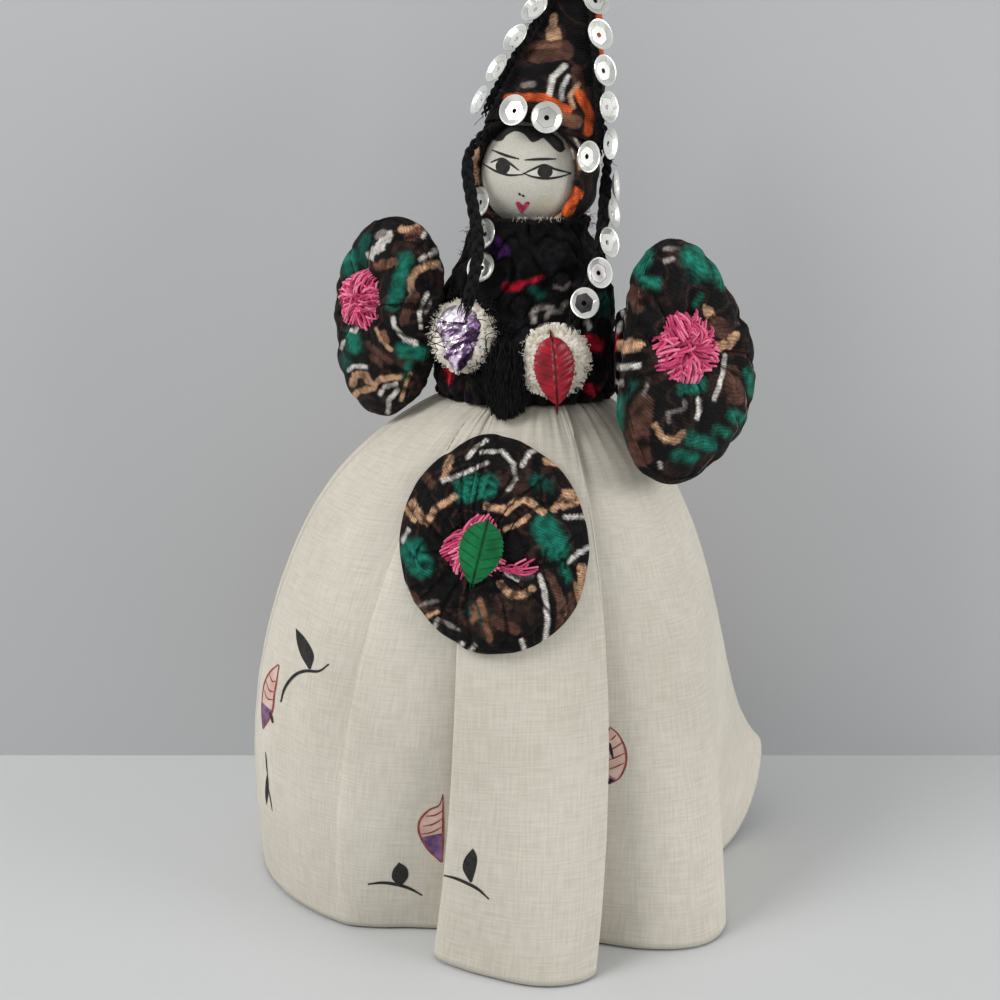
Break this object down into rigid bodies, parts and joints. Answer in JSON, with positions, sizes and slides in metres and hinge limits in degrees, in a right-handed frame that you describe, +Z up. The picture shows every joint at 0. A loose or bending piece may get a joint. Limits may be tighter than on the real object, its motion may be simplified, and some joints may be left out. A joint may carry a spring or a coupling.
{
  "type": "cloth folk doll",
  "caption": "Standing cloth doll with a gathered calico skirt, puffed round sleeves, a tall leaning hat, sequined tresses and a head that rocks and turns in its cowl.",
  "frame": {"origin": "foot of the spine, on the underside of the base card", "axes": "+Z up, the face looks along -Y, +X is the viewer's right"},
  "size_m": [0.118, 0.0972, 0.1976],
  "materials": {
    "calico": "plain woven unbleached cotton",
    "rag": "rolled rag",
    "card": "plain card",
    "pine": "bare wood",
    "binding_thread": "twisted cotton thread",
    "floral_cloth": "printed cotton",
    "patterned_cloth": "printed ribbed cotton",
    "wadding": "cotton wadding",
    "muslin": "stretched white cotton",
    "cream_wool": "brushed wool",
    "black_yarn": "yarn",
    "pink_thread": "embroidery thread",
    "lilac_foil": "crumpled metallised film",
    "red_film": "embossed film",
    "green_flock": "flocked film",
    "silver_film": "metallised film"
  },
  "bodies": {
    "torso": {"apron_flower": "pink_thread", "apron_leaf": "green_flock", "apron_puff": "patterned_cloth", "base_card": "card", "bodice": "floral_cloth", "chest_tuft": "black_yarn", "foil_scrap": "lilac_foil", "leaf_red": "red_film", "rag_core": "rag", "rosette_left": "cream_wool", "rosette_right": "cream_wool", "skirt": "calico", "spine_stick": "pine", "torso_wadding": "wadding", "waist_thread": "binding_thread"},
    "neck": {"neck_stub": "wadding", "neck_thread": "binding_thread"},
    "head": {"brow_thread": "black_yarn", "hat_cloth": "patterned_cloth", "hat_core": "wadding", "hat_edging_left": "black_yarn", "hat_edging_right": "black_yarn", "head_ball": "muslin", "headscarf": "patterned_cloth", "sequin_brow_1": "silver_film", "sequin_brow_2": "silver_film", "sequin_brow_3": "silver_film", "sequin_hat_left_1": "silver_film", "sequin_hat_left_2": "silver_film", "sequin_hat_left_3": "silver_film", "sequin_hat_left_4": "silver_film", "sequin_hat_left_5": "silver_film", "sequin_hat_right_1": "silver_film", "sequin_hat_right_2": "silver_film", "sequin_hat_right_3": "silver_film", "sequin_hat_right_4": "silver_film", "sequin_hat_right_5": "silver_film"},
    "arm_left": {"arm_left": "floral_cloth", "sleeve_flower_left": "pink_thread", "sleeve_puff_left": "patterned_cloth"},
    "arm_right": {"arm_right": "floral_cloth", "sleeve_flower_right": "pink_thread", "sleeve_puff_right": "patterned_cloth"},
    "tress_left": {"sequin_tress_left_1": "silver_film", "sequin_tress_left_2": "silver_film", "sequin_tress_left_3": "silver_film", "tress_left": "black_yarn"},
    "tress_right": {"sequin_tress_right_1": "silver_film", "sequin_tress_right_2": "silver_film", "sequin_tress_right_3": "silver_film", "sequin_tress_right_4": "silver_film", "sequin_tress_right_5": "silver_film", "tress_right": "black_yarn"}
  },
  "joints": [
    {"name": "neck_tilt", "type": "hinge", "parent": "torso", "child": "neck", "pos_m": [0.0015, 0, 0.152], "axis": [0, 1, 0], "range_deg": [-6, 6]},
    {"name": "head_turn", "type": "hinge", "parent": "neck", "child": "head", "pos_m": [0.0015, 0, 0.152], "axis": [0.1392, 0, 0.9903], "range_deg": [-6, 6]},
    {"name": "arm_left_lift", "type": "hinge", "parent": "torso", "child": "arm_left", "pos_m": [-0.02158, 0.00267, 0.123], "axis": [0, 1, 0], "range_deg": [0, 8]},
    {"name": "arm_right_lift", "type": "hinge", "parent": "torso", "child": "arm_right", "pos_m": [0.02198, -0.00653, 0.117], "axis": [0, -1, 0], "range_deg": [0, 5]},
    {"name": "tress_left_swing", "type": "hinge", "parent": "head", "child": "tress_left", "pos_m": [-0.0116, -0.005, 0.1565], "axis": [-1, 0, 0], "range_deg": [0, 40]},
    {"name": "tress_right_swing", "type": "hinge", "parent": "head", "child": "tress_right", "pos_m": [0.01599, -0.0015, 0.153], "axis": [-1, 0, 0], "range_deg": [0, 40]}
  ]
}
